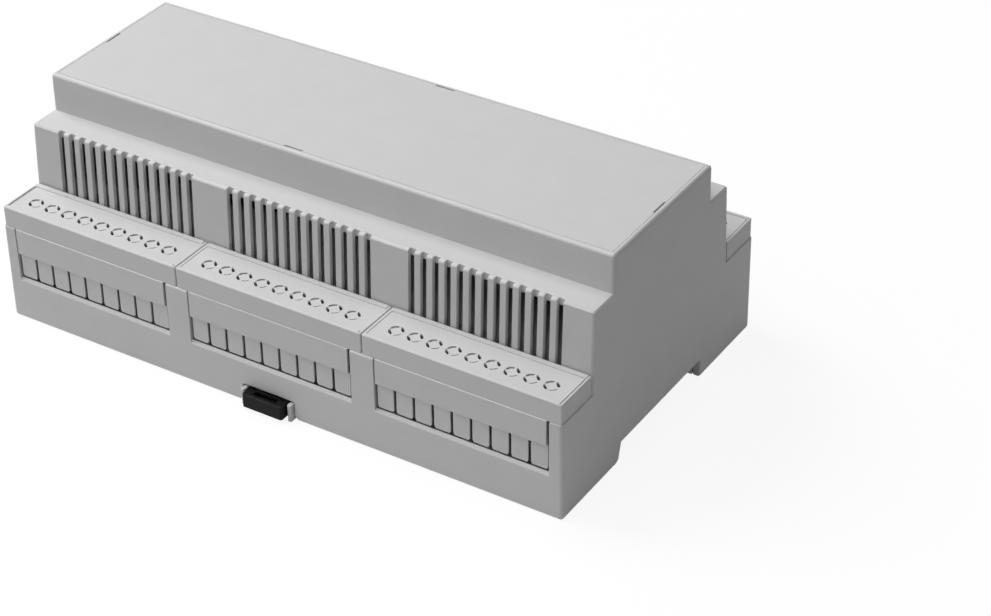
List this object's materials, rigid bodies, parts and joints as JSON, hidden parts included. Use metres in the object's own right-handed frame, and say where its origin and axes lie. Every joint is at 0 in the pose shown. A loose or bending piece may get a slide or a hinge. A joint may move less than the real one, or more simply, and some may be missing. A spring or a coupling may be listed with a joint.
{
  "type": "din rail enclosure",
  "caption": "Stepped rail-mounting electronics enclosure with vented walls, a flush top panel, perforated terminal guards and a sprung rail clip.",
  "frame": {"origin": "centre of the rail seat, the roof of the rail recess midway along the enclosure", "axes": "+X along the enclosure and the rail, -Y towards the rail clip, +Z away from the rail towards the top panel"},
  "size_m": [0.1594, 0.093, 0.058],
  "materials": {
    "light_grey_shell": "fine matte moulding texture",
    "light_grey_base": "fine matte moulding texture",
    "light_grey_panel": "fine matte moulding texture",
    "light_grey_guard": "fine matte moulding texture",
    "black_clip": "satin black moulding"
  },
  "bodies": {
    "housing": {"housing": "light_grey_shell", "base_plate": "light_grey_base"},
    "rail_clip": {"rail_clip": "black_clip"},
    "top_panel": {"top_panel": "light_grey_panel"},
    "guard_front_left": {"guard_front_left": "light_grey_guard"},
    "guard_front_middle": {"guard_front_middle": "light_grey_guard"},
    "guard_front_right": {"guard_front_right": "light_grey_guard"},
    "guard_back_left": {"guard_back_left": "light_grey_guard"},
    "guard_back_middle": {"guard_back_middle": "light_grey_guard"},
    "guard_back_right": {"guard_back_right": "light_grey_guard"}
  },
  "joints": [
    {"name": "rail_clip_pull", "type": "slide", "parent": "housing", "child": "rail_clip", "axis": [0, -1, 0], "range_m": [0, 0.004], "stiffness_N_per_m": 1500},
    {"name": "top_panel_lift", "type": "slide", "parent": "housing", "child": "top_panel", "axis": [0, 0, 1], "range_m": [0, 0.012]},
    {"name": "guard_front_left_lift", "type": "slide", "parent": "housing", "child": "guard_front_left", "axis": [0, 0, 1], "range_m": [0, 0.018]},
    {"name": "guard_front_middle_lift", "type": "slide", "parent": "housing", "child": "guard_front_middle", "axis": [0, 0, 1], "range_m": [0, 0.018]},
    {"name": "guard_front_right_lift", "type": "slide", "parent": "housing", "child": "guard_front_right", "axis": [0, 0, 1], "range_m": [0, 0.018]},
    {"name": "guard_back_left_lift", "type": "slide", "parent": "housing", "child": "guard_back_left", "axis": [0, 0, 1], "range_m": [0, 0.018]},
    {"name": "guard_back_middle_lift", "type": "slide", "parent": "housing", "child": "guard_back_middle", "axis": [0, 0, 1], "range_m": [0, 0.018]},
    {"name": "guard_back_right_lift", "type": "slide", "parent": "housing", "child": "guard_back_right", "axis": [0, 0, 1], "range_m": [0, 0.018]}
  ]
}
